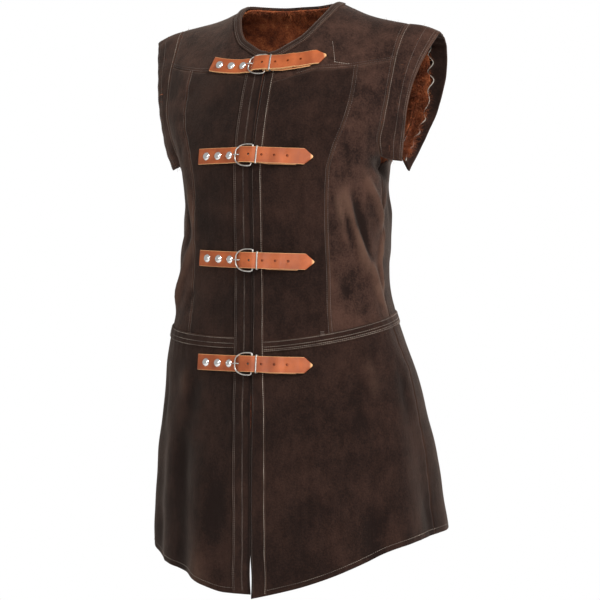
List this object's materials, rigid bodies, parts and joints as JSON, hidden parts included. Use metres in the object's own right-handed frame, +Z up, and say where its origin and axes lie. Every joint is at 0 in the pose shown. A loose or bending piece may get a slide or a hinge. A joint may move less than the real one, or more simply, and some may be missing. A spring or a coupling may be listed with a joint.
{
  "type": "fur-lined suede vest",
  "caption": "Thigh-length sleeveless suede vest with a fur lining, banded armholes and a front closed by buckled leather straps",
  "frame": {"origin": "middle of the shoulder line, level with the top of the shoulders", "axes": "+X is the wearer's left, -Y is the front, +Z is up"},
  "size_m": [0.508, 0.3805, 0.9342],
  "materials": {
    "suede": "napped dark brown suede",
    "fur": "short rust-brown pile",
    "strap_leather": "smooth tan leather with pale cut edges",
    "metal": "polished nickel-plated steel"
  },
  "bodies": {
    "root": {"centre_front_r": "suede", "side_front_r": "suede", "yoke_r": "suede", "skirt_front_r": "suede", "back_bodice_r": "suede", "skirt_back_r": "suede", "centre_front_l": "suede", "side_front_l": "suede", "yoke_l": "suede", "skirt_front_l": "suede", "back_bodice_l": "suede", "skirt_back_l": "suede", "waist_strip_r": "suede", "placket_r": "suede", "waist_strip_l": "suede", "placket_l": "suede", "waist_strip_back": "suede", "neck_band": "suede", "arm_band_r": "suede", "arm_facing_r": "suede", "arm_lining_r": "fur", "arm_band_l": "suede", "arm_facing_l": "suede", "arm_lining_l": "fur", "lining_front_r": "fur", "lining_back_r": "fur", "lining_front_l": "fur", "lining_back_l": "fur", "closure_1_strap": "strap_leather", "closure_1_tab": "strap_leather", "closure_1_frame": "metal", "closure_1_tongue": "metal", "closure_1_keeper": "metal", "closure_1_rivet_1": "metal", "closure_1_rivet_2": "metal", "closure_1_rivet_3": "metal", "closure_2_strap": "strap_leather", "closure_2_tab": "strap_leather", "closure_2_frame": "metal", "closure_2_tongue": "metal", "closure_2_keeper": "metal", "closure_2_rivet_1": "metal", "closure_2_rivet_2": "metal", "closure_2_rivet_3": "metal", "closure_3_strap": "strap_leather", "closure_3_tab": "strap_leather", "closure_3_frame": "metal", "closure_3_tongue": "metal", "closure_3_keeper": "metal", "closure_3_rivet_1": "metal", "closure_3_rivet_2": "metal", "closure_3_rivet_3": "metal", "closure_4_strap": "strap_leather", "closure_4_tab": "strap_leather", "closure_4_frame": "metal", "closure_4_tongue": "metal", "closure_4_keeper": "metal", "closure_4_rivet_1": "metal", "closure_4_rivet_2": "metal", "closure_4_rivet_3": "metal"}
  },
  "joints": []
}
